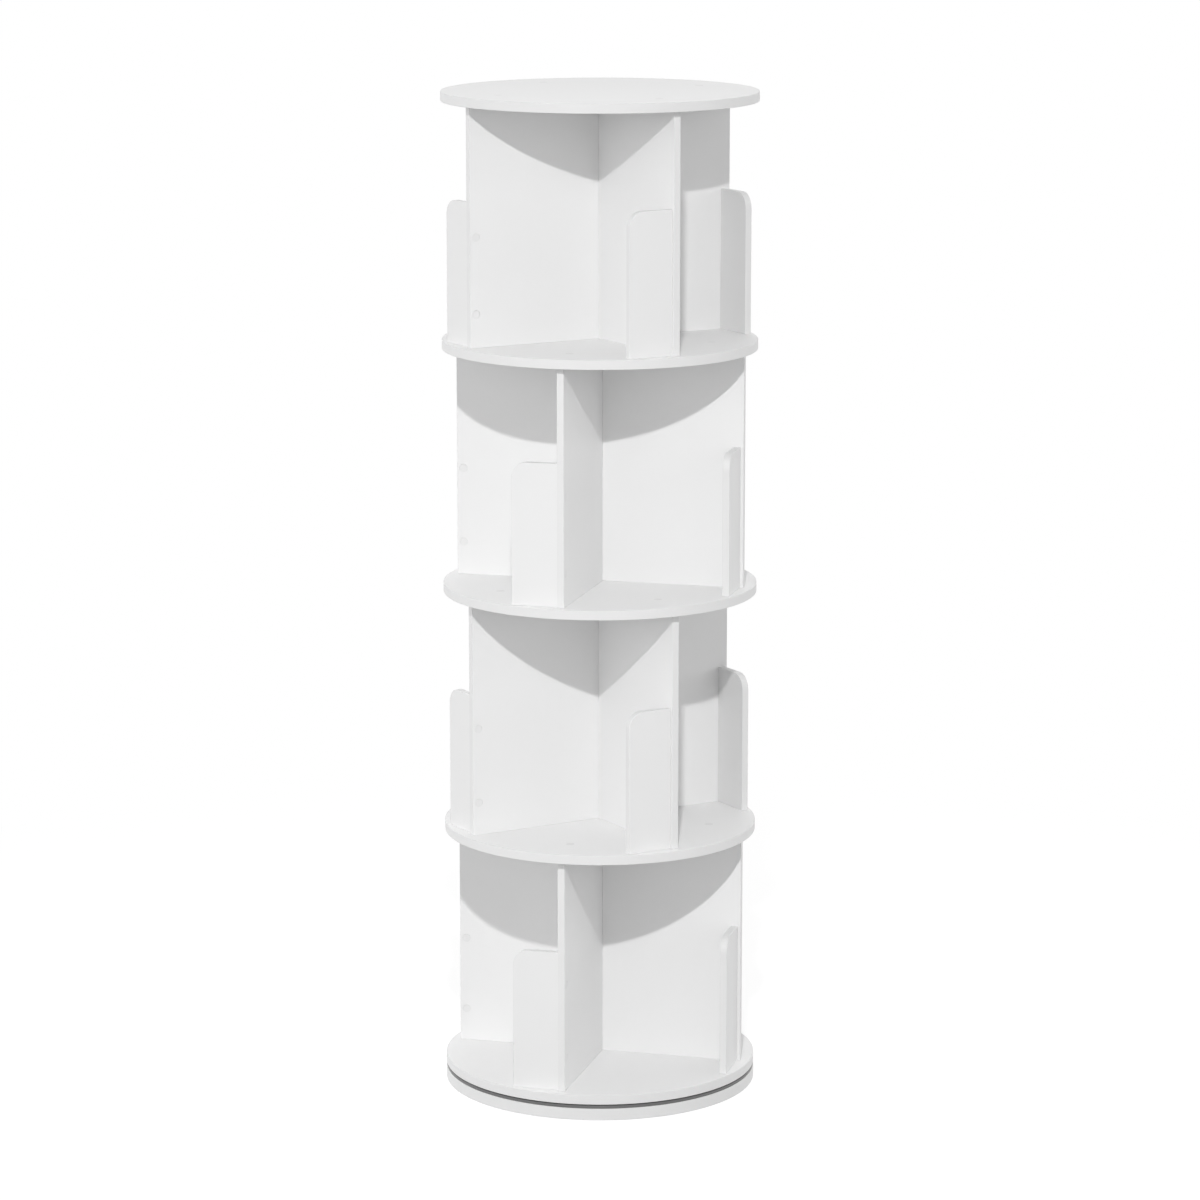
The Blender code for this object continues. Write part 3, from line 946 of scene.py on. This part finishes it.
def build_turntable():
    """The grey ring, the two plates, the balls between them, and the bolts and screws of the plates."""
    add_piece("grey_trim_ring", trim_ring(), "base", [RING], ["turntable_trim_ring"])
    inner, outer = RACE_RADIUS - PLATE_LIP, RACE_RADIUS + PLATE_FLANGE
    lower = plate_ring(LOWER_PLATE, inner, outer, BASE_BOLT, BASE_BOLT_SPOT, race_up=True)
    add_piece("zinc_lower_plate", lower, "base", [ZINC], ["turntable_lower_plate"])
    inner, outer = RACE_RADIUS - PLATE_FLANGE, RACE_RADIUS + PLATE_LIP
    upper = plate_ring(UPPER_PLATE, inner, outer, PLATE_SCREW, PLATE_SCREW_SPOT, race_up=False)
    add_piece("zinc_upper_plate", upper, "carousel", [ZINC], ["turntable_upper_plate"])
    add_piece("ball_cage", ball_ring(), "ball_ring", [ZINC, BALL], ["turntable_ball_ring"])
    for name, body, screw, spot, stem in (
        ("zinc_base_bolts", "base", BASE_BOLT, BASE_BOLT_SPOT, "base_bolt"),
        ("zinc_plate_screws", "carousel", PLATE_SCREW, PLATE_SCREW_SPOT, "turntable_screw"),
    ):
        nodes = numbered(stem)
        places = on_arms(LOWEST_TIER, spot, head_seat(nodes[0], screw), flip=True)
        screws = copies("screws", screw_mesh(screw), places)
        add_piece(name, screws, body, [ZINC], nodes)


def floor_finish():
    """Pale floor that looks white, takes the object's shadow near it and sends some light back up."""
    material, finish = new_finish("white_studio_floor")
    radius = finish.node("ShaderNodeVectorMath", {"operation": "LENGTH"}, {0: finish.place()}, "Value")
    fade = ((radius - FADE_START) / (FADE_END - FADE_START)).clamped()
    dust = finish.noise(scale=3, detail=2)
    darker = finish.matt(FLOOR_SHADE - FLOOR_SHADE_SPREAD)
    lighter = finish.matt(FLOOR_SHADE + FLOOR_SHADE_SPREAD)
    near = finish.both(finish.mixed(dust, darker, lighter), finish.glow(FLOOR_GLOW))
    shown = finish.mixed(fade, near, finish.glow(1.0))
    whole = finish.mixed(finish.seen_directly(), finish.matt(FLOOR_BOUNCE), shown)
    finish.node("ShaderNodeOutputMaterial", None, {"Surface": whole})
    return material


def build_floor():
    bm = bmesh.new()
    bmesh.ops.create_circle(bm, cap_ends=True, segments=BOARD_SEGMENTS, radius=FLOOR_RADIUS)
    floor = bpy.data.objects.new("studio_floor", made_mesh("studio_floor", bm))
    floor.location.z = cad_low.z - SEAM
    floor.data.materials.append(floor_finish())
    bpy.context.scene.collection.objects.link(floor)


def outward(turn):
    """A level way out from the object, turned from the camera's side towards its right."""
    angle = VIEW_TURN + turn
    return Vector((math.sin(angle), -math.cos(angle), 0))


def build_world():
    """Plain white to look at. As light, a dim ceiling that passes into walls of their own brightness."""
    world = bpy.data.worlds.new("white_studio")
    bpy.context.scene.world = world
    finish = Finish(world)
    spot = finish.node("ShaderNodeTexCoord", output="Generated")
    dark = finish.backdrop(0.0)

    def towards(way):
        """How far a spot of the sky lies towards a way, from 0 to 1."""
        settings = {"operation": "DOT_PRODUCT"}
        return finish.node("ShaderNodeVectorMath", settings, {0: spot, 1: way}, "Value").clamped()

    walls = finish.backdrop(FRONT_WALL_LIGHT)
    for turn, strength in (
        (-QUARTER_TURN, LEFT_WALL_LIGHT),
        (QUARTER_TURN, RIGHT_WALL_LIGHT),
        (HALF_TURN, BACK_WALL_LIGHT),
    ):
        wall = finish.mixed(towards(outward(turn)), dark, finish.backdrop(strength))
        walls = finish.both(walls, wall)
    height = towards(UP)
    room = finish.mixed((1 - height) * (1 - height), finish.backdrop(CEILING_LIGHT), walls)
    light = finish.mixed(height > 0.0, dark, room)
    shown = finish.mixed(finish.seen_directly(), light, finish.backdrop(1.0))
    finish.node("ShaderNodeOutputWorld", None, {"Surface": shown})


def build_lamp():
    """One small lamp that hangs high in front, and draws the shelves' shadows on the dividers."""
    light = bpy.data.lights.new("hanging_lamp", "AREA")
    light.shape = "DISK"
    light.size = LAMP_SIZE
    light.energy = LAMP_POWER
    lamp = bpy.data.objects.new("hanging_lamp", light)
    lamp.location = LAMP_DISTANCE * outward(LAMP_TURN) + LAMP_HEIGHT * UP
    lamp.visible_camera = False
    bpy.context.scene.collection.objects.link(lamp)


def build_camera():
    lens = bpy.data.cameras.new("photo_camera")
    lens.lens = CAMERA_LENS
    camera = bpy.data.objects.new("photo_camera", lens)
    camera.location = CAMERA_DISTANCE * outward(0) + CAMERA_HEIGHT * UP
    line_of_sight = AIM_HEIGHT * UP - camera.location
    camera.rotation_euler = line_of_sight.to_track_quat("-Z", "Y").to_euler()
    bpy.context.scene.collection.objects.link(camera)
    bpy.context.scene.camera = camera


build_camera()
build_round_boards()
build_dividers()
build_fences()
build_fixings()
build_turntable()
build_floor()
build_world()
build_lamp()
bpy.context.scene.view_settings.view_transform = "Standard"
